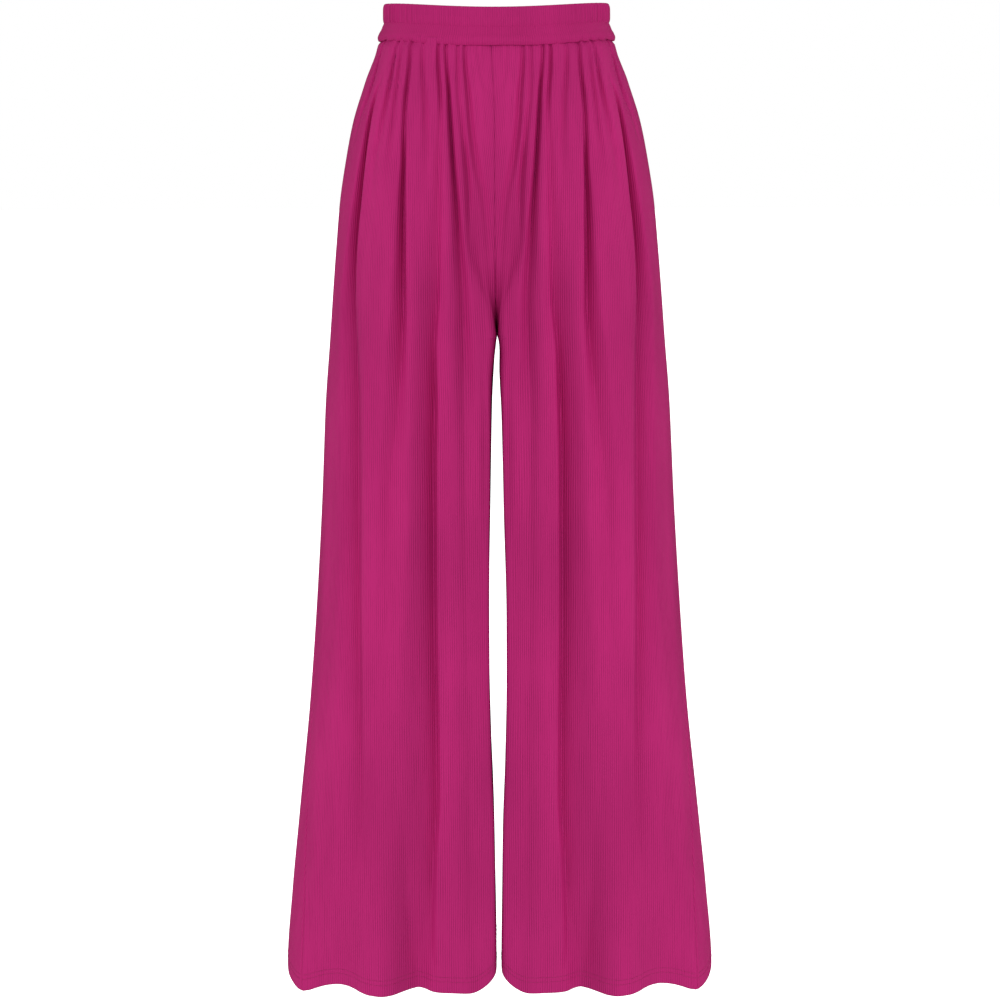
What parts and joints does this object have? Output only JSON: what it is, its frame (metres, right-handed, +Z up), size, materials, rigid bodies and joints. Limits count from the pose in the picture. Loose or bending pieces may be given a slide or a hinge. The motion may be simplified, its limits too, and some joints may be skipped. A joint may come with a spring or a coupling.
{
  "type": "palazzo pants",
  "caption": "Wide-legged pull-on palazzo trousers of fine ribbed jersey, gathered under an elastic waistband and filled out as worn, open at waist and hems.",
  "frame": {"origin": "centre of the waist at mid-height of the elastic casing, where the wearer's waist holds the trousers", "axes": "+Z up, front faces -Y, the wearer's right leg is on -X"},
  "size_m": [0.4738, 0.2605, 1.0695],
  "materials": {
    "leg_jersey": "matt fine vertical rib",
    "band_jersey": "matt fine rib, lightly gathered",
    "casing_jersey": "matt fine rib, puckered by elastic"
  },
  "bodies": {
    "root": {"leg_front_right": "leg_jersey", "leg_front_left": "leg_jersey", "leg_back_right": "leg_jersey", "leg_back_left": "leg_jersey", "waistband_lower": "band_jersey", "waistband_casing": "casing_jersey"}
  },
  "joints": []
}
